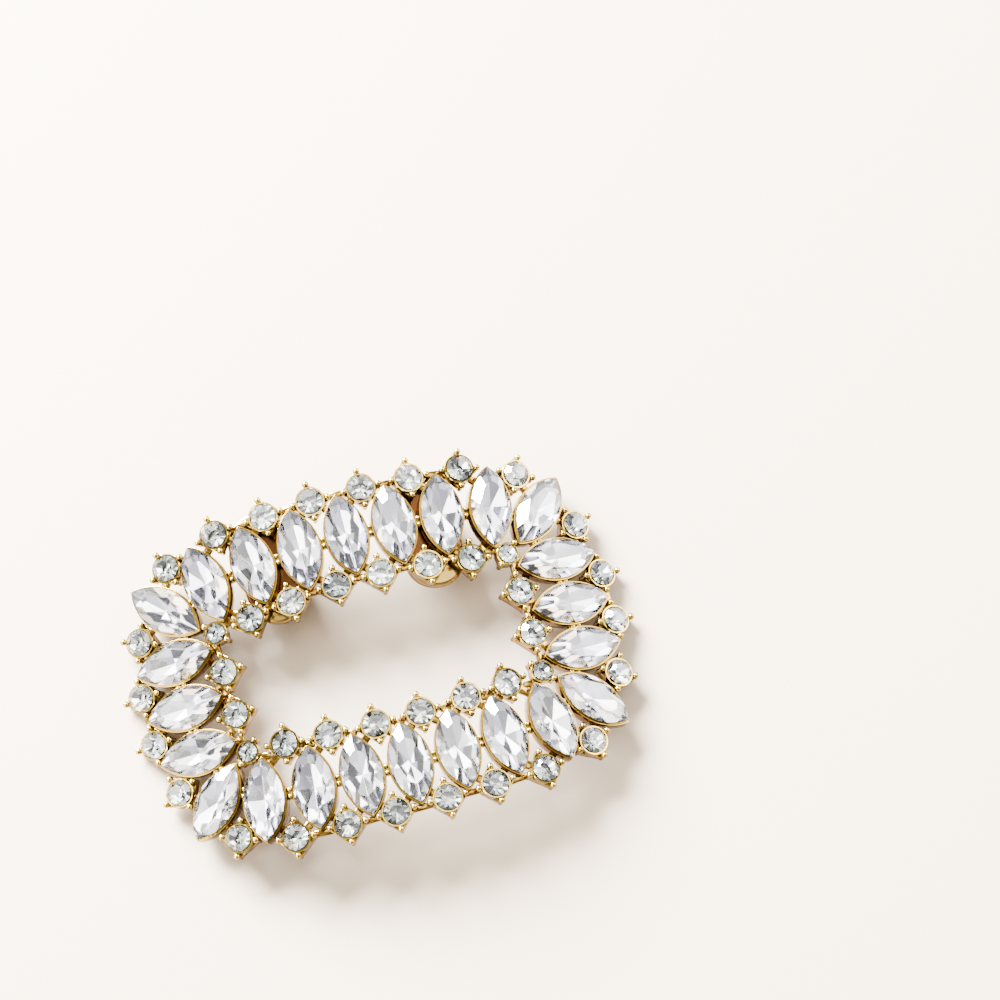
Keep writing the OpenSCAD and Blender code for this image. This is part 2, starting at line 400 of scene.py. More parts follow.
def upright_edges(bm):
    """Upright edges where the outline has a corner."""
    return [
        e
        for e in bm.edges
        if abs(e.verts[0].co.z - e.verts[1].co.z) > UPRIGHT_RISE
        and (e.verts[0].co - e.verts[1].co).xy.length < UPRIGHT_LEAN
        and len(e.link_faces) == 2
        and e.calc_face_angle(0) > UPRIGHT_CORNER
    ]


def block(bm, size, low_corner, edge):
    """Adds a bar with softened edges, given its size and low corner."""
    made = bmesh.ops.create_cube(bm, size=1)["verts"]
    bmesh.ops.scale(bm, vec=size, verts=made)
    bmesh.ops.translate(bm, vec=Vector(low_corner) + Vector(size) / 2, verts=made)
    soften(bm, {e for v in made for e in v.link_edges}, edge)


# ---- materials

# Noise sizes, in waves a metre
CAST_SCALE = 900.0
CLIP_SCALE = 300.0
TONE_SCALE = 260.0
FIRE_SCALE = 420.0
PATCH_EDGES = (0.45, 0.7)
PATCH_DETAIL, GRAIN_DETAIL, FIRE_DETAIL = 2.0, 3.0, 2.0
GRAIN_ROUGHNESS = 0.1
CAST_GLOSS, CUP_GLOSS, CLIP_GLOSS = 0.04, 0.06, 0.12
CAST_PATCHES, CUP_PATCHES, CLIP_PATCHES = 0.7, 0.5, 0.2
CAST_BUMP, CLIP_BUMP = 0.12, 0.03
BUMP_HEIGHT = 0.0002
# The ring's shade starts and ends on a clip over these stretches of Y, in metres
UNDER_RING = ((0.0079, 0.0093), (0.0205, 0.0185))
# Upward share of a clip's face over which its painted shade fades in
UPWARD = (0.0, 0.5)
GLASS_IOR = 1.56
BOAT_GLASS, ROUND_GLASS = (1, 1, 1), (0.98, 1, 0.97)
# The two tints of the foil's painted fire, and where they start in the noise
BOAT_FIRE = ((0.90, 0.86, 0.96), (0.97, 0.95, 0.86))
ROUND_FIRE = ((0.88, 0.93, 0.88), (0.97, 0.97, 0.88))
FIRE_STOPS = (0.36, 0.5, 0.64)


def add_noise(tree, place, scale, detail):
    """Adds a noise pattern. The scale is a number or a socket."""
    node = tree.nodes.new("ShaderNodeTexNoise")
    node.inputs["Detail"].default_value = detail
    tree.links.new(place, node.inputs["Vector"])
    if isinstance(scale, float):
        node.inputs["Scale"].default_value = scale
    else:
        tree.links.new(scale, node.inputs["Scale"])
    return node.outputs["Fac"]


def add_range(tree, value, start, end, kind="LINEAR"):
    """Adds a ramp from one pair of a value and its result to another."""
    node = tree.nodes.new("ShaderNodeMapRange")
    node.interpolation_type = kind
    for name, number in zip(("From Min", "To Min", "From Max", "To Max"), (*start, *end)):
        node.inputs[name].default_value = number
    tree.links.new(value, node.inputs["Value"])
    return node.outputs["Result"]


def add_product(tree, a, b):
    """Adds the product of two values."""
    node = tree.nodes.new("ShaderNodeMath")
    node.operation = "MULTIPLY"
    tree.links.new(a, node.inputs[0])
    tree.links.new(b, node.inputs[1])
    return node.outputs[0]


def add_mix(tree, a, b, share=None):
    """Adds a mix of two colours by a share, or their product where no share is given."""
    node = tree.nodes.new("ShaderNodeMix")
    node.data_type = "RGBA"
    tree.links.new(a, node.inputs["A"])
    tree.links.new(b, node.inputs["B"])
    if share is None:
        node.blend_type = "MULTIPLY"
        node.inputs["Factor"].default_value = 1.0
    else:
        tree.links.new(share, node.inputs["Factor"])
    return node.outputs["Result"]


def add_ramp(tree, share, stops):
    """Adds a colour ramp of positions and colours."""
    node = tree.nodes.new("ShaderNodeValToRGB")
    elements = node.color_ramp.elements
    elements[0].position, elements[0].color = stops[0]
    elements[1].position, elements[1].color = stops[-1]
    for position, colour in stops[1:-1]:
        elements.new(position).color = colour
    tree.links.new(share, node.inputs["Fac"])
    return node.outputs["Color"]


def plating_group():
    """Shared effect: uneven colour, painted shade in the low colour, gloss and cast grain of plated metal."""
    name = "Plated metal"
    if name in bpy.data.node_groups:
        return bpy.data.node_groups[name]
    group = bpy.data.node_groups.new(name, "ShaderNodeTree")
    for socket in ("High colour", "Low colour", "Patch colour"):
        group.interface.new_socket(name=socket, in_out="INPUT", socket_type="NodeSocketColor")
    for socket in ("Low", "Patchiness", "Gloss", "Grain scale"):
        group.interface.new_socket(name=socket, in_out="INPUT", socket_type="NodeSocketFloat")
    group.interface.new_socket(name="Colour", in_out="OUTPUT", socket_type="NodeSocketColor")
    for socket in ("Roughness", "Height"):
        group.interface.new_socket(name=socket, in_out="OUTPUT", socket_type="NodeSocketFloat")
    given = group.nodes.new("NodeGroupInput").outputs
    out = group.nodes.new("NodeGroupOutput").inputs
    place = group.nodes.new("ShaderNodeTexCoord").outputs["Object"]
    patches = add_noise(group, place, TONE_SCALE, PATCH_DETAIL)
    patches = add_range(group, patches, (PATCH_EDGES[0], 0.0), (PATCH_EDGES[1], 1.0))
    patches = add_product(group, patches, given["Patchiness"])
    raised = add_mix(group, given["High colour"], given["Patch colour"], patches)
    group.links.new(add_mix(group, raised, given["Low colour"], given["Low"]), out["Colour"])
    grain = add_noise(group, place, given["Grain scale"], GRAIN_DETAIL)
    group.links.new(grain, out["Height"])
    uneven = group.nodes.new("ShaderNodeMath")
    uneven.operation = "MULTIPLY_ADD"
    uneven.inputs[1].default_value = GRAIN_ROUGHNESS
    group.links.new(grain, uneven.inputs[0])
    group.links.new(given["Gloss"], uneven.inputs[2])
    group.links.new(uneven.outputs[0], out["Roughness"])
    return group


def shade_under_ring(tree):
    """Share of the low colour on a clip: full on top under the ring, none below or on the ends past the ring."""
    place = tree.nodes.new("ShaderNodeTexCoord").outputs
    along = tree.nodes.new("ShaderNodeSeparateXYZ")
    tree.links.new(place["Object"], along.inputs[0])
    facing = tree.nodes.new("ShaderNodeSeparateXYZ")
    tree.links.new(place["Normal"], facing.inputs[0])
    shade = add_range(tree, facing.outputs["Z"], (UPWARD[0], 0.0), (UPWARD[1], 1.0))
    for near, far in UNDER_RING:
        share = add_range(tree, along.outputs["Y"], (near, 0.0), (far, 1.0))
        shade = add_product(tree, shade, share)
    return shade


def metal_material(name, high, low, patch, gloss, patchiness, grain_scale, bump, shade_by_depth):
    """Plated metal with painted shade in its low colour, where the piece's depth attribute says so, or else under the
    ring.
    """
    material = bpy.data.materials.new(name)
    material.use_nodes = True
    nodes, links = material.node_tree.nodes, material.node_tree.links
    shader = nodes["Principled BSDF"]
    shader.inputs["Metallic"].default_value = 1.0
    effect = nodes.new("ShaderNodeGroup")
    effect.node_tree = plating_group()
    effect.inputs["High colour"].default_value = (*high, 1)
    effect.inputs["Low colour"].default_value = (*low, 1)
    effect.inputs["Patch colour"].default_value = (*patch, 1)
    effect.inputs["Patchiness"].default_value = patchiness
    effect.inputs["Gloss"].default_value = gloss
    effect.inputs["Grain scale"].default_value = grain_scale
    if shade_by_depth:
        depth = nodes.new("ShaderNodeAttribute")
        depth.attribute_name = "depth"
        links.new(depth.outputs["Fac"], effect.inputs["Low"])
    else:
        links.new(shade_under_ring(material.node_tree), effect.inputs["Low"])
    relief = nodes.new("ShaderNodeBump")
    relief.inputs["Strength"].default_value = bump
    relief.inputs["Distance"].default_value = BUMP_HEIGHT
    links.new(effect.outputs["Colour"], shader.inputs["Base Color"])
    links.new(effect.outputs["Roughness"], shader.inputs["Roughness"])
    links.new(effect.outputs["Height"], relief.inputs["Height"])
    links.new(relief.outputs["Normal"], shader.inputs["Normal"])
    return material


def crystal_material(name, colour):
    """Clear cut glass."""
    material = bpy.data.materials.new(name)
    material.use_nodes = True
    shader = material.node_tree.nodes["Principled BSDF"]
    shader.inputs["Base Color"].default_value = (*colour, 1)
    shader.inputs["Roughness"].default_value = 0.0
    shader.inputs["IOR"].default_value = GLASS_IOR
    shader.inputs["Transmission Weight"].default_value = 1.0
    return material


def foil_material(name, colour, fire, roughness):
    """Silver foil with faint painted coloured fire, and a painted dark reflection where a facet's tone attribute is
    below 1.
    """
    material = bpy.data.materials.new(name)
    material.use_nodes = True
    tree = material.node_tree
    shader = tree.nodes["Principled BSDF"]
    shader.inputs["Metallic"].default_value = 1.0
    shader.inputs["Roughness"].default_value = roughness
    place = tree.nodes.new("ShaderNodeTexCoord").outputs["Object"]
    cells = add_noise(tree, place, FIRE_SCALE, FIRE_DETAIL)
    tints = [(position, (*tint, 1)) for position, tint in zip(FIRE_STOPS, (fire[0], colour, fire[1]))]
    tone = tree.nodes.new("ShaderNodeAttribute")
    tone.attribute_name = "tone"
    toned = add_mix(tree, add_ramp(tree, cells, tints), tone.outputs["Fac"])
    tree.links.new(toned, shader.inputs["Base Color"])
    return material


# ---- the casting

# Material slot of the cups, whose darker gold is painted shade
CUP = 1
CUP_FLOOR = 0.4
CUP_STEPS = 26
CUP_TIP_EDGE, CUP_FOOT_EDGE = 0.1, 0.2
BASE_TOP = -0.95
SEAT_FLOOR = 0.34
SEAT_RIM = -0.2
BALL_Z = -0.25
STONE_GAP = 0.012
FLAT_TO_PRONG = 0.81
CORNER_OVER = 0.05
BASE_EDGE = 0.09
STEM_FOOT, STEM_TIP, STEM_SIDES = 1.05 * STEM_R, 0.85 * STEM_R, 12
BALL_SIDES, BALL_RINGS = 16, 10
STRUT_W, STRUT_TOP, STRUT_REACH, STRUT_START = 1.0, -1.1, 1.7, 0.6
WALL_INSET = 0.12
BAR_W, BAR_OUT, BAR_EDGE = 0.8, 0.42, 0.12
TIE_L, TIE_TOP = 1.5, -0.75
BEAD_R, BEAD_OUT, BEAD_SIDES, BEAD_RINGS = 0.38, 0.4, 14, 8
# Depths below the arched face at which the painted shade in the low colour starts and is full
SHADE_FROM_DEPTH, FULL_SHADE_DEPTH = 0.4, 1.6
BACK_FACING = -0.7
CAST_SMOOTH = math.radians(32)
# How far bars and stems end above the back of the base that they run into
LIFT, BAR_LIFT = 0.05, 0.08


def cup_pattern(sizes):
    """One boat-shaped cup with a soft thin rim."""
    bm = bmesh.new()
    wall, rim = mm(sizes.cup_wall), mm(sizes.cup_rim)
    bottom = boat_face(bm, wall, -CUP_H, CUP_STEPS)
    top = raise_face(bm, bottom, CUP_H + rim)
    sink_face(bm, top, wall - STONE_GAP, CUP_H + rim - CUP_FLOOR)
    soften(bm, upright_edges(bm), CUP_TIP_EDGE)
    soften(bm, level_edges(bm, rim), mm(sizes.soft_edge))
    soften(bm, level_edges(bm, -CUP_H), CUP_FOOT_EDGE)
    for face in bm.faces:
        face.material_index = CUP
    return as_pattern(bm, "cup_pattern")


def setting_pattern(sizes, d, step):
    """One round setting: a square base, a thin rim, and two or four prongs with balls."""
    bm = bmesh.new()
    out = PRONG_OUT * d / 2
    inner = d / 2 + STONE_GAP
    outer = inner + mm(sizes.rim_width)
    flat = FLAT_TO_PRONG * out
    corner = flat * math.sqrt(2)
    made = bmesh.ops.create_circle(bm, cap_ends=True, segments=4, radius=corner)
    bmesh.ops.translate(bm, vec=(0, 0, -SEAT_H), verts=made["verts"])
    raise_face(bm, bm.faces[:][0], SEAT_H + BASE_TOP)
    reach = out + CORNER_OVER
    soften(bm, upright_edges(bm), (corner - reach) * math.sqrt(2), 1)
    top = max(bm.faces, key=lambda f: f.calc_center_median().z)
    hole = bmesh.ops.create_circle(bm, cap_ends=False, segments=ROUND_STEPS, radius=(inner + outer) / 2)["verts"]
    bmesh.ops.translate(bm, vec=(0, 0, BASE_TOP), verts=hole)
    hole_edges = list({e for v in hole for e in v.link_edges})
    rim_edges = list(top.edges)
    bmesh.ops.delete(bm, geom=[top], context="FACES_ONLY")
    bmesh.ops.triangle_fill(bm, edges=rim_edges + hole_edges, use_beauty=True, use_dissolve=False, normal=(0, 0, 1))
    soften(bm, [e for e in rim_edges if e.is_valid], BASE_EDGE)
    edge = min(mm(sizes.soft_edge), (outer - inner) / 3)
    rim = [
        (inner, SEAT_FLOOR - SEAT_H),
        (inner, SEAT_RIM - edge),
        (inner + edge, SEAT_RIM),
        (outer - edge, SEAT_RIM),
        (outer, SEAT_RIM - edge),
        (outer, SEAT_FLOOR / 2 - SEAT_H),
    ]
    turn_profile(bm, rim)
    floor = bmesh.ops.create_circle(bm, cap_ends=True, segments=ROUND_STEPS, radius=inner)["verts"]
    bmesh.ops.translate(bm, vec=(0, 0, SEAT_FLOOR - SEAT_H), verts=floor)
    for k in range(360 // step):
        turn = Matrix.Rotation(math.radians(90 + k * step), 4, "Z")
        stem = turn @ Matrix.Translation((out, 0, (BALL_Z + LIFT - SEAT_H) / 2))
        bmesh.ops.create_cone(
            bm,
            cap_ends=True,
            segments=STEM_SIDES,
            radius1=STEM_FOOT,
            radius2=STEM_TIP,
            depth=SEAT_H + BALL_Z - LIFT,
            matrix=stem,
        )
        ball = turn @ Matrix.Translation((out, 0, BALL_Z))
        bmesh.ops.create_uvsphere(bm, u_segments=BALL_SIDES, v_segments=BALL_RINGS, radius=mm(sizes.ball), matrix=ball)
    return as_pattern(bm, "setting_pattern")


def tip_bars(b):
    """Plain bars across a boat's tips."""
    bm = bmesh.new()
    for length, side in ((b[3], 1), (b[4], -1)):
        if length > 0:
            low = (-length / 2, side * (BOAT_L / 2 + BAR_OUT) - BAR_W / 2, BAR_LIFT - SEAT_H)
            block(bm, (length, BAR_W, SEAT_H + STRUT_TOP - LIFT), low, BAR_EDGE)
    return as_pattern(bm, "tip_bars")


def strut(length):
    """Bar from a round setting to the cup beside it."""
    bm = bmesh.new()
    low = (-STRUT_W / 2, STRUT_START, LIFT - SEAT_H)
    block(bm, (STRUT_W, length, SEAT_H + STRUT_TOP - LIFT), low, BAR_EDGE)
    return as_pattern(bm, "strut")


def tie(length):
    """Bar with two beads between two neighbouring cups."""
    bm = bmesh.new()
    low = (-length / 2, -TIE_L / 2, LIFT - SEAT_H)
    block(bm, (length, TIE_L, SEAT_H + TIE_TOP - LIFT), low, min(BAR_EDGE, length / 4))
    for side in (-1, 1):
        bead = Matrix.Translation((0, side * BEAD_OUT, TIE_TOP))
        bmesh.ops.create_uvsphere(bm, u_segments=BEAD_SIDES, v_segments=BEAD_RINGS, radius=BEAD_R, matrix=bead)
    return as_pattern(bm, "tie")


def record_depth_shade(piece):
    """Stores the share of painted shade, which grows with how far the casting lies below its arched face, corner by
    corner, and nothing on its back.
    """
    mesh = piece.data
    low = mesh.attributes.new("depth", "FLOAT", "CORNER")
    for polygon in mesh.polygons:
        if polygon.normal.z < BACK_FACING:
            continue
        for k in polygon.loop_indices:
            place = mesh.vertices[mesh.loops[k].vertex_index].co * MM_PER_METRE
            below = ARCH_R - math.hypot(place.x, place.z - FACE_H + ARCH_R)
            low.data[k].value = min(1.0, max(0.0, (below - SHADE_FROM_DEPTH) / (FULL_SHADE_DEPTH - SHADE_FROM_DEPTH)))


class BUCKLE_OT_casting(bpy.types.Operator):
    """Build the gold casting: cups, round settings, prongs, ties and bars"""

    bl_idname = "buckle.casting"
    bl_label = "Casting"

    def execute(self, context):
        sizes, colours = context.scene.buckle_sizes, context.scene.buckle_colours
        # The casting's low colour is painted shade deep between the stones
        tones, grain = (colours.shade_gold, colours.patch_gold), (CAST_SCALE, CAST_BUMP)
        gold = metal_material("cast_gold", colours.gold, *tones, CAST_GLOSS, CAST_PATCHES, *grain, True)
        # The cups' darker gold is painted shade
        shaded_cup_gold = metal_material("shaded_cup_gold", colours.shaded_cup_gold, *tones, CUP_GLOSS, CUP_PATCHES, *grain, True)
        bm = bmesh.new()
        cup = cup_pattern(sizes)
        for b in boats:
            place = on_face(*b[:3])
            stamp(bm, cup, place)
            stamp(bm, tip_bars(b), place)
        for b, after in zip(boats, boats[1:] + boats[:1]):
            c, e = arc_centre(after, b), arc_centre(b, after)
            gap = math.dist(c, e) - 2 * BOAT_R
            place = on_face((c[0] + e[0]) / 2, (c[1] + e[1]) / 2, math.degrees(math.atan2(c[1] - e[1], e[0] - c[0])))
            stamp(bm, tie(gap - 2 * WALL_INSET), place)
        patterns = {}
        for p in rounds:
            kind = p[3:]
            if kind not in patterns:
                patterns[kind] = setting_pattern(sizes, *kind)
            stamp(bm, patterns[kind], on_face(*p[:3]))
            for b in boats:
                if boat_gap(p, b) - p[3] / 2 < STRUT_REACH:
                    c = arc_centre(p, b)
                    place = on_face(p[0], p[1], math.degrees(math.atan2(c[0] - p[0], c[1] - p[1])))
                    stamp(bm, strut(boat_gap(p, b) - WALL_INSET - STRUT_START), place)
        finishes = [gold, shaded_cup_gold]
        ring = finish_piece(bm, "cast_ring", finishes, "ring", ["setting_ring"], CAST_SMOOTH)
        record_depth_shade(ring)
        return {"FINISHED"}


# ---- the stones

# Material slots of a stone
GLASS, FOIL = 0, 1
# Tones that a facet is drawn from: a tone below 1 is a painted dark reflection
BOAT_TONES = (1.0, 1.0, 0.9)
ROUND_TONES = (1.0, 1.0, 0.22)
TONE_SECTORS = 16
SECTOR_SHIFT = math.radians(2)
BOAT_FOIL_ROUGHNESS, ROUND_FOIL_ROUGHNESS = 0.08, 0.04
CUT_NEAR = 1e-5
# How far past its crown and back a rough stone reaches before it is ground
ROUGH = 1
TABLE_SHARE_BETWEEN = 0.72
SIDE_FACING = 0.05
BOAT_STEPS, ROUND_STONE_STEPS = 20, 48
# Directions of a boat-shaped stone's facets, from its wide side
BOAT_MAINS = (20, -20, 160, 200, 62, -62, 118, -118)
BOAT_BETWEEN = (0, 180, 84, -84, 96, -96)
BOAT_BACK = (15, -15, 165, 195, 48, -48, 132, -132, 76, -76, 104, -104)
# Facets and heights of a round stone: the heights but the girdle's are shares of its diameter
ROUND_FACETS = 8
ROUND_CROWN, ROUND_BACK, ROUND_GIRDLE = 0.22, 0.43, 0.14
ROUND_SPIN = math.pi / 8


def grind(bm, normal, distance):
    """Grinds one flat facet: what lies beyond the plane goes, and the cut is closed."""
    normal = Vector(normal).normalized()
    geom = bm.verts[:] + bm.edges[:] + bm.faces[:]
    cut = bmesh.ops.bisect_plane(
        bm, geom=geom, dist=CUT_NEAR, plane_co=normal * distance, plane_no=normal, clear_outer=True
    )["geom_cut"]
    edges = [g for g in cut if isinstance(g, bmesh.types.BMEdge) and g.is_boundary]
    if edges:
        bmesh.ops.contextual_create(bm, geom=edges)


def facet(bm, azimuth, reach, start_z, rise, share):
    """Grinds a facet that leaves the outline at start_z and climbs by rise in a share of the way to the middle."""
    a = math.radians(azimuth)
    up = reach * share
    normal = Vector((math.cos(a) * abs(rise), math.sin(a) * abs(rise), math.copysign(up, rise)))
    point = Vector((math.cos(a) * reach, math.sin(a) * reach, start_z))
    normal.normalize()
    grind(bm, normal, normal.dot(point))


def boat_reach(azimuth):
    """How far a boat-shaped outline reaches in a direction: to its arc, or else to its tip."""
    a = math.radians(azimuth)
    if abs(math.sin(a)) < BOAT_L / 2 / BOAT_R:
        return BOAT_R - BOAT_OFF * abs(math.cos(a))
    return BOAT_L / 2 * abs(math.sin(a))


def cut_stone(bm, reach, crown, girdle, back, table, mains, between, back_mains):
    """Grinds the facets of a brilliant on a prism: crown, table, and a pointed back."""
    for a in mains:
        facet(bm, a, reach(a), 0, crown, 1 - table)
    for a in between:
        facet(bm, a, reach(a), 0, crown, (1 - table) * TABLE_SHARE_BETWEEN)
    grind(bm, (0, 0, 1), crown)
    for a in back_mains:
        facet(bm, a, reach(a), -girdle, girdle - back, 1)
    for face in bm.faces:
        face.normal_update()
        face.material_index = FOIL if face.normal.z < SIDE_FACING else GLASS


def boat_stone_pattern(stones):
    """A boat-shaped brilliant."""
    bm = bmesh.new()
    crown, back, girdle = mm(stones.boat_crown), mm(stones.boat_back), mm(stones.girdle)
    raise_face(bm, boat_face(bm, 0, -back - ROUGH, BOAT_STEPS), back + crown + 2 * ROUGH)
    bmesh.ops.recalc_face_normals(bm, faces=bm.faces)
    cut_stone(bm, boat_reach, crown, girdle, back, stones.boat_table, BOAT_MAINS, BOAT_BETWEEN, BOAT_BACK)
    return as_pattern(bm, "boat_brilliant")


def round_stone_pattern(stones, d):
    """A round brilliant."""
    bm = bmesh.new()
    r = d / 2
    crown, back = ROUND_CROWN * d, ROUND_BACK * d
    made = bmesh.ops.create_circle(bm, cap_ends=True, segments=ROUND_STONE_STEPS, radius=r)
    bmesh.ops.translate(bm, vec=(0, 0, -back - ROUGH), verts=made["verts"])
    raise_face(bm, bm.faces[:][0], back + crown + 2 * ROUGH)
    bmesh.ops.recalc_face_normals(bm, faces=bm.faces)
    step = 360 / ROUND_FACETS
    mains = [step * k for k in range(ROUND_FACETS)]
    back_mains = [step * (k + 0.5) for k in range(ROUND_FACETS)]
    cut_stone(bm, lambda a: r, crown, ROUND_GIRDLE, back, stones.round_table, mains, (), back_mains)
    return as_pattern(bm, "round_brilliant")


def tone_facets(pattern, draw, tones):
    """Gives a stone's foiled facets one of a few tones each, by the way they face, as painted dark reflections."""
    drawn = [draw.choice(tones) for _ in range(TONE_SECTORS)]
    tone = pattern.attributes.get("tone") or pattern.attributes.new("tone", "FLOAT", "FACE")
    for polygon in pattern.polygons:
        facing = math.atan2(polygon.normal.y, polygon.normal.x) + SECTOR_SHIFT
        sector = round(facing / math.tau * TONE_SECTORS) % TONE_SECTORS
        tone.data[polygon.index].value = drawn[sector] if polygon.material_index == FOIL else 1.0


def hand_set(draw, limit, spin):
    """A stone's own small tilt and turn in its setting."""
    tilt = Matrix.Rotation(draw.uniform(-limit, limit), 4, "X") @ Matrix.Rotation(draw.uniform(-limit, limit), 4, "Y")
    return tilt @ Matrix.Rotation(draw.uniform(-spin, spin), 4, "Z")


class BUCKLE_OT_boat_stones(bpy.types.Operator):
    """Cut and set the boat-shaped stones"""

    bl_idname = "buckle.boat_stones"
    bl_label = "Boat-shaped stones"

    def execute(self, context):
        stones, colours = context.scene.buckle_stones, context.scene.buckle_colours
        draw = random.Random(stones.seed)
        glass = crystal_material("boat_glass", BOAT_GLASS)
        foil = foil_material("boat_foil", colours.foil, BOAT_FIRE, BOAT_FOIL_ROUGHNESS)
        pattern = boat_stone_pattern(stones)
        for i, b in enumerate(boats, 1):
            bm = bmesh.new()
            tone_facets(pattern, draw, BOAT_TONES)
            stamp(bm, pattern, on_face(*b[:3]) @ hand_set(draw, stones.unevenness, 0))
            finish_piece(bm, f"boat_crystal_{i:02d}", [glass, foil], "ring", [f"boat_stone_{i:02d}"])
        return {"FINISHED"}


class BUCKLE_OT_round_stones(bpy.types.Operator):
    """Cut and set the round stones, outside, inside and in the corners"""

    bl_idname = "buckle.round_stones"
    bl_label = "Round stones"

    def execute(self, context):
        stones, colours = context.scene.buckle_stones, context.scene.buckle_colours
        draw = random.Random(stones.seed + 1)
        glass = crystal_material("round_glass", ROUND_GLASS)
        foil = foil_material("round_foil", colours.round_foil, ROUND_FIRE, ROUND_FOIL_ROUGHNESS)
        fields = {
            "outer": outer_rounds,
            "inner": [p for p in inner_rounds if p[3] == ROUND_D],
            "corner": [p for p in inner_rounds if p[3] == CORNER_D],
        }
        for field, rows in fields.items():
            pattern = round_stone_pattern(stones, rows[0][3])
            bm = bmesh.new()
            for p in rows:
                tone_facets(pattern, draw, ROUND_TONES)
                stamp(bm, pattern, on_face(*p[:3]) @ hand_set(draw, stones.unevenness, ROUND_SPIN))
            finish_piece(bm, f"{field}_crystals", [glass, foil], "ring", [f"{field}_round_stones"])
        return {"FINISHED"}


# ---- the clips

GLUE, PLATE_T, LEVER_T = 0.14, 0.9, 0.6
PIN_Y, PIN_DROP, PIN_R = 2.0, 1.25, 0.5
EAR_R, EAR_T, EAR_EDGE, EAR_GAP = 1.05, 0.55, 0.15, 0.1
LEVER_W, MOUTH_L, TAIL_L, DISH_L = 7.0, 8.8, 5.7, 4.4
DISH_RIM_W, DISH_RIM_H, JAW_GAP = 0.5, 0.35, 0.08
PIN_HEAD_R, PIN_HEAD_T, HEAD_GAP = 0.85, 0.3, 0.05
LEVER_SLOPE = math.radians(16.2)
PLATE_TOP = -CUP_H - GLUE
PLATE_UNDER = PLATE_TOP - PLATE_T
PIN_Z = PLATE_UNDER - PIN_DROP
LEVER_DROP = DISH_RIM_H + (MOUTH_L * math.sin(LEVER_SLOPE) - PIN_DROP + JAW_GAP) / math.cos(LEVER_SLOPE)
CLIP_EDGE, PLATE_EDGE, EAR_SOFT = 0.12, 0.4, 0.08
EAR_CORNER = 0.8
EAR_STEPS, LIP_STEPS = 16, 24
CLIP_EDGE_STEPS, PLATE_EDGE_STEPS = 3, 5
# Half of the pin's profile outside the plate's ears: radius, and height above the head's inner face
PIN_HEAD = (
    (0, PIN_HEAD_T),
    (PIN_HEAD_R * 0.6, PIN_HEAD_T - 0.036),
    (PIN_HEAD_R * 0.9, PIN_HEAD_T - 0.12),
    (PIN_HEAD_R, PIN_HEAD_T - 0.192),
    (PIN_HEAD_R, 0.03),
    (PIN_HEAD_R - 0.05, 0),
    (PIN_R, 0),
)
CLIP_SMOOTH = math.radians(40)


def ear(bm, x, reach, place):
    """Adds a hinge ear at x: round at the pin, and straight to a height above or below it."""
    piece = bmesh.new()
    side = 1 if reach > 0 else -1
    turn_vert(piece, (-EAR_R * side, 0, 0), (0, 0, 0), math.pi, EAR_STEPS)
    ends = loose_ends(piece)
    far = [piece.verts.new((v.co.x, reach, 0)) for v in ends]
    for pair in (*zip(ends, far), far):
        piece.edges.new(pair)
    raise_face(piece, fill(piece), EAR_T)
    soften(piece, [e for e in piece.edges if len(e.link_faces) == 2 and e.calc_face_angle(0) > EAR_CORNER], EAR_SOFT)
    bmesh.ops.recalc_face_normals(piece, faces=piece.faces)
    stand_up = Matrix(((0, 0, 1, x), (1, 0, 0, 0), (0, 1, 0, 0), (0, 0, 0, 1)))
    bmesh.ops.transform(piece, matrix=place @ stand_up, verts=piece.verts)
    join(bm, piece)


def clip_plate(width, length):
    """The fixed plate: a smooth strip with round ends, and ears for the pin."""
    bm = bmesh.new()
    raise_face(bm, round_ended_face(bm, width, -length / 2, length / 2, PLATE_UNDER), PLATE_T)
    soften(bm, level_edges(bm, PLATE_TOP), PLATE_EDGE, PLATE_EDGE_STEPS)
    soften(bm, level_edges(bm, PLATE_UNDER), CLIP_EDGE, CLIP_EDGE_STEPS)
    bmesh.ops.recalc_face_normals(bm, faces=bm.faces)
    ear_x = width / 2 - EAR_EDGE
    at_pin = Matrix.Translation((0, PIN_Y, PIN_Z))
    for x in (ear_x - EAR_T, -ear_x):
        ear(bm, x, PIN_DROP + PLATE_T / 2, at_pin)
    return bm


def dish_rim():
    """The raised rim round the lever's mouth, open at the back."""
    bm = bmesh.new()
    middle = Vector((0, LEVER_W / 2 - MOUTH_L, 0))
    low = -LEVER_DROP - LEVER_T / 2
    turn_vert(bm, (-LEVER_W / 2, middle.y, low), middle, math.pi, LIP_STEPS)
    for v in loose_ends(bm):
        far = bm.verts.new((v.co.x, DISH_L - MOUTH_L, v.co.z))
        bm.edges.new((v, far))
    grown = bmesh.ops.extrude_edge_only(bm, edges=bm.edges[:])["geom"]
    raised = [g for g in grown if isinstance(g, bmesh.types.BMVert)]
    bmesh.ops.translate(bm, vec=(0, 0, LEVER_T / 2 + DISH_RIM_H), verts=raised)
    bmesh.ops.recalc_face_normals(bm, faces=bm.faces)
    outward = bm.faces[:][0]
    if outward.normal.dot(outward.calc_center_median() - middle) < 0:
        bmesh.ops.reverse_faces(bm, faces=bm.faces)
    bmesh.ops.solidify(bm, geom=bm.faces[:], thickness=DISH_RIM_W)
    soften(bm, level_edges(bm, -LEVER_DROP + DISH_RIM_H), CLIP_EDGE, CLIP_EDGE_STEPS)
    bmesh.ops.recalc_face_normals(bm, faces=bm.faces)
    return bm


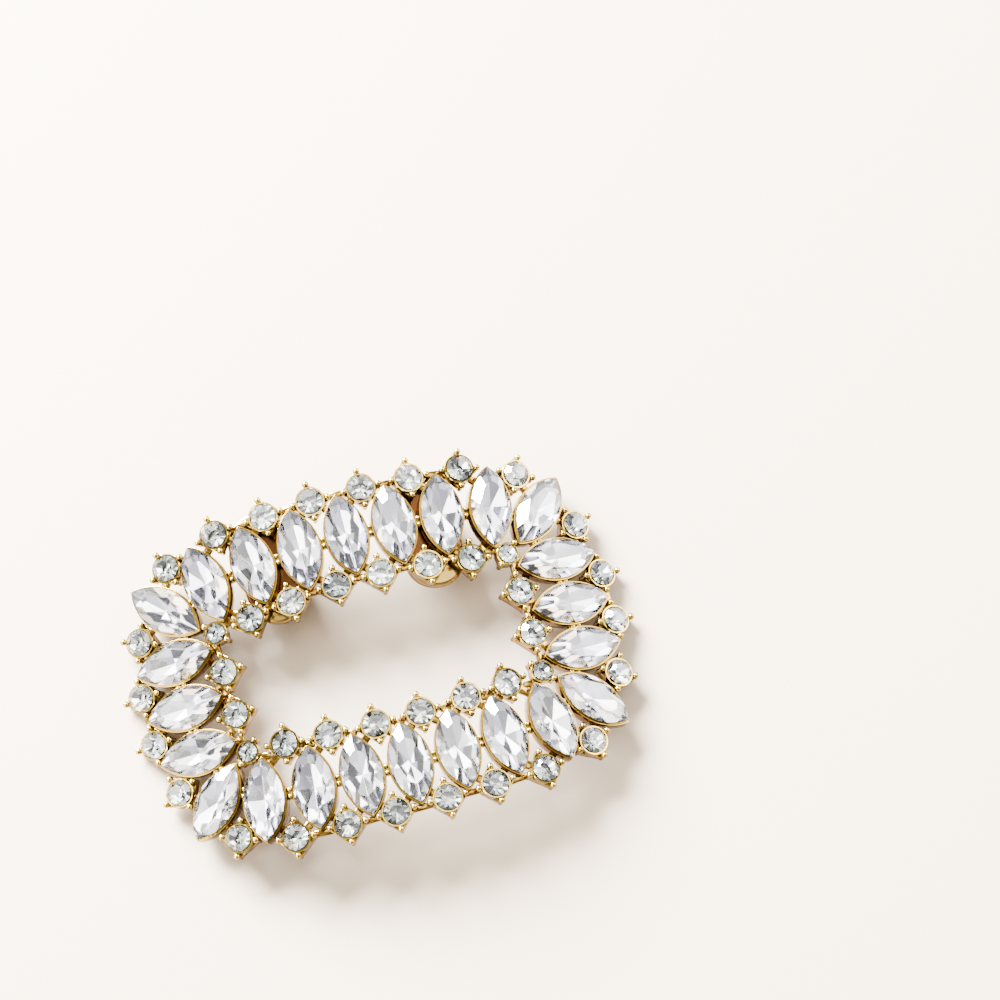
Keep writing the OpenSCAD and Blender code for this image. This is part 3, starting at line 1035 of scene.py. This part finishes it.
def clip_jaw(width):
    """The sprung lever: a dished mouth, a plain tail, and ears on the pin."""
    bm = bmesh.new()
    under = round_ended_face(bm, LEVER_W, -MOUTH_L, TAIL_L, -LEVER_DROP - LEVER_T)
    raise_face(bm, under, LEVER_T)
    for z in (-LEVER_DROP, -LEVER_DROP - LEVER_T):
        soften(bm, level_edges(bm, z), CLIP_EDGE, CLIP_EDGE_STEPS)
    bmesh.ops.recalc_face_normals(bm, faces=bm.faces)
    join(bm, dish_rim())
    ear_x = width / 2 - EAR_EDGE - EAR_T - EAR_GAP
    for x in (ear_x - EAR_T, -ear_x):
        ear(bm, x, -LEVER_DROP - LEVER_T / 2, Matrix.Identity(4))
    swing = Matrix.Translation((0, PIN_Y, PIN_Z)) @ Matrix.Rotation(-LEVER_SLOPE, 4, "X")
    bmesh.ops.transform(bm, matrix=swing, verts=bm.verts)
    return bm


def rivet_pin(width):
    """The pin that the lever turns on, with a domed head at each end."""
    bm = bmesh.new()
    inner = width / 2 - EAR_EDGE + HEAD_GAP
    half = [(r, inner + z) for r, z in PIN_HEAD]
    turn_profile(bm, half + [(r, -z) for r, z in reversed(half)])
    bmesh.ops.remove_doubles(bm, verts=bm.verts, dist=WELD)
    bmesh.ops.recalc_face_normals(bm, faces=bm.faces)
    across = Matrix.Translation((0, PIN_Y, PIN_Z)) @ Matrix.Rotation(math.pi / 2, 4, "Y")
    bmesh.ops.transform(bm, matrix=across, verts=bm.verts)
    return bm


class BUCKLE_OT_clips(bpy.types.Operator):
    """Build the two spring clips: plates, levers and pins"""

    bl_idname = "buckle.clips"
    bl_label = "Clips"

    def execute(self, context):
        sizes, colours = context.scene.buckle_sizes, context.scene.buckle_colours
        width, length = mm(sizes.clip_width), mm(sizes.clip_length)
        # clip_shade is painted shade on the clips' tops under the ring
        tones = (colours.clip_gold, colours.clip_shade, colours.patch_gold)
        gold = metal_material("clip_gold", *tones, CLIP_GLOSS, CLIP_PATCHES, CLIP_SCALE, CLIP_BUMP, False)
        for side, row in CLIPS.items():
            made = (
                ("clip_strip", clip_plate(width, length), "ring", "gold_clip", "clip_plate"),
                ("clip_jaw", clip_jaw(width), f"lever_{side}", "gold_clip", "clip_lever"),
                ("rivet_pin", rivet_pin(width), "ring", "gold_pin", "hinge_pin"),
            )
            for name, bm, body, slot, node in made:
                bmesh.ops.transform(bm, matrix=on_face(*row), verts=bm.verts)
                finish_piece(bm, f"{name}_{side}", [gold], body, [f"{node}_{side}"], CLIP_SMOOTH)
        return {"FINISHED"}


# ---- the stage

# The camera's place in millimetres, the directions of its right side and back, and its lens
CAMERA_PLACE = (-18.9, -103.9, 481 + FACE_H)
CAMERA_RIGHT = (0.962, -0.272, 0.010)
CAMERA_BACK = (-0.077, -0.237, 0.968)
FOCAL_PIXELS = 4030
FRAME_PIXELS = 1000
SENSOR = 36.0
CAMERA_NEAR, CAMERA_FAR = 0.01, 20.0
# Floor and lights in metres
FLOOR_SIZE = 4.0
FLOOR_ROUGHNESS = 0.6
SOFTBOXES = (
    # name, place, size, watts, colour
    ("rear_softbox", (-0.30, 0.70, 0.48), 0.5, 570.0, (0.95, 1.0, 1.12)),
    ("left_softbox", (-0.72, -0.15, 0.45), 0.6, 35.0, (1.0, 1.0, 1.0)),
    ("right_softbox", (0.70, 0.20, 0.45), 0.6, 30.0, (1.0, 1.0, 1.0)),
)

# The room: brighter to one side, in soft panels, with a bright patch overhead
BRIGHT_SIDE = (-0.25, 0.93, 0.25)
PANEL_SCALE, PANEL_DETAIL = 3.0, 0.0
PANEL_EDGES = (0.42, 0.58)
PANEL_SHARES = (0.5, 1.7)
TOP_PATCH = (0.08, 0.24, 0.97)
TOP_PATCH_EDGES = (0.93, 0.975)
TOP_PATCH_GAIN = 4.0
SKY_STRENGTH = 1.0
SKY_STOPS = (
    # share of the way to the bright side, colour
    (0.0, (1.0, 0.99, 1.09, 1)),
    (0.42, (1.05, 1.04, 1.14, 1)),
    (0.58, (1.25, 1.25, 1.3, 1)),
    (0.75, (2.2, 2.2, 2.2, 1)),
    (1.0, (5.0, 5.0, 5.0, 1)),
)


def lay_floor(scene, colour):
    """The pale floor."""
    bm = bmesh.new()
    bmesh.ops.create_grid(bm, x_segments=1, y_segments=1, size=FLOOR_SIZE / 2)
    mesh = bpy.data.meshes.new("floor")
    bm.to_mesh(mesh)
    bm.free()
    floor = bpy.data.objects.new("floor", mesh)
    scene.collection.objects.link(floor)
    material = bpy.data.materials.new("floor")
    material.use_nodes = True
    shader = material.node_tree.nodes["Principled BSDF"]
    shader.inputs["Base Color"].default_value = (*colour, 1)
    shader.inputs["Roughness"].default_value = FLOOR_ROUGHNESS
    mesh.materials.append(material)


def hang_softboxes(scene):
    """The studio's soft lights, each turned towards the buckle."""
    for name, place, size, watts, colour in SOFTBOXES:
        light = bpy.data.lights.new(name, "AREA")
        light.shape = "SQUARE"
        light.size = size
        light.energy = watts
        light.color = colour
        lamp = bpy.data.objects.new(name, light)
        lamp.location = place
        lamp.rotation_euler = (-Vector(place)).to_track_quat("-Z", "Y").to_euler()
        scene.collection.objects.link(lamp)


def add_closeness(tree, place, direction):
    """Adds how closely a direction in the room agrees with another: 1 if it is the same, -1 if it is opposite."""
    node = tree.nodes.new("ShaderNodeVectorMath")
    node.operation = "DOT_PRODUCT"
    node.inputs[1].default_value = Vector(direction).normalized()
    tree.links.new(place, node.inputs[0])
    return node.outputs["Value"]


def light_room(scene):
    """The room that the stones and the gold reflect."""
    world = bpy.data.worlds.new("studio")
    scene.world = world
    world.use_nodes = True
    tree = world.node_tree
    sky = tree.nodes["Background"]
    sky.inputs["Strength"].default_value = SKY_STRENGTH
    place = tree.nodes.new("ShaderNodeTexCoord").outputs["Generated"]
    share = add_range(tree, add_closeness(tree, place, BRIGHT_SIDE), (-1.0, 0.0), (1.0, 1.0))
    walls = add_ramp(tree, share, SKY_STOPS)
    panels = add_noise(tree, place, PANEL_SCALE, PANEL_DETAIL)
    panels = add_range(tree, panels, *zip(PANEL_EDGES, PANEL_SHARES), "SMOOTHSTEP")
    patch = add_closeness(tree, place, TOP_PATCH)
    patch = add_range(tree, patch, (TOP_PATCH_EDGES[0], 1.0), (TOP_PATCH_EDGES[1], TOP_PATCH_GAIN))
    tree.links.new(add_mix(tree, walls, add_product(tree, panels, patch)), sky.inputs["Color"])


def place_camera(scene):
    """The camera, at the photograph's viewing angle."""
    camera = bpy.data.cameras.new("camera")
    camera.sensor_width = SENSOR
    camera.lens = FOCAL_PIXELS / FRAME_PIXELS * SENSOR
    camera.clip_start, camera.clip_end = CAMERA_NEAR, CAMERA_FAR
    back = Vector(CAMERA_BACK).normalized()
    right = Vector(CAMERA_RIGHT)
    right = (right - back * right.dot(back)).normalized()
    pose = Matrix((right, back.cross(right), back)).transposed().to_4x4()
    pose.translation = Vector(CAMERA_PLACE) / MM_PER_METRE
    holder = bpy.data.objects.new("camera", camera)
    holder.matrix_world = pose
    scene.collection.objects.link(holder)
    scene.camera = holder


class BUCKLE_OT_stage(bpy.types.Operator):
    """Set the pale floor, soft studio light and camera"""

    bl_idname = "buckle.stage"
    bl_label = "Stage"

    def execute(self, context):
        scene = context.scene
        lay_floor(scene, scene.buckle_colours.floor)
        hang_softboxes(scene)
        light_room(scene)
        place_camera(scene)
        return {"FINISHED"}


# ---- add-on


class BUCKLE_PT_panel(bpy.types.Panel):
    """Lists the steps that build the buckle"""

    bl_label = "Shoe buckle"
    bl_idname = "BUCKLE_PT_panel"
    bl_space_type = "VIEW_3D"
    bl_region_type = "UI"
    bl_category = "Buckle"

    def draw(self, context):
        for group in (context.scene.buckle_sizes, context.scene.buckle_stones, context.scene.buckle_colours):
            column = self.layout.column(align=True)
            for name in group.__annotations__:
                column.prop(group, name)
        for step in STEPS:
            self.layout.operator(step.bl_idname)


GROUPS = (BuckleSizes, StoneSizes, BuckleColours)
STEPS = (BUCKLE_OT_stage, BUCKLE_OT_casting, BUCKLE_OT_boat_stones, BUCKLE_OT_round_stones, BUCKLE_OT_clips)


def register():
    for cls in (*GROUPS, *STEPS, BUCKLE_PT_panel):
        bpy.utils.register_class(cls)
    bpy.types.Scene.buckle_sizes = PointerProperty(type=BuckleSizes)
    bpy.types.Scene.buckle_stones = PointerProperty(type=StoneSizes)
    bpy.types.Scene.buckle_colours = PointerProperty(type=BuckleColours)


def unregister():
    del bpy.types.Scene.buckle_sizes
    del bpy.types.Scene.buckle_stones
    del bpy.types.Scene.buckle_colours
    for cls in reversed((*GROUPS, *STEPS, BUCKLE_PT_panel)):
        bpy.utils.unregister_class(cls)


def main():
    register()
    bpy.ops.buckle.stage()
    bpy.ops.buckle.casting()
    bpy.ops.buckle.boat_stones()
    bpy.ops.buckle.round_stones()
    bpy.ops.buckle.clips()
    for pattern in [m for m in bpy.data.meshes if m.users == 0]:
        bpy.data.meshes.remove(pattern)


if __name__ == "__main__":
    main()
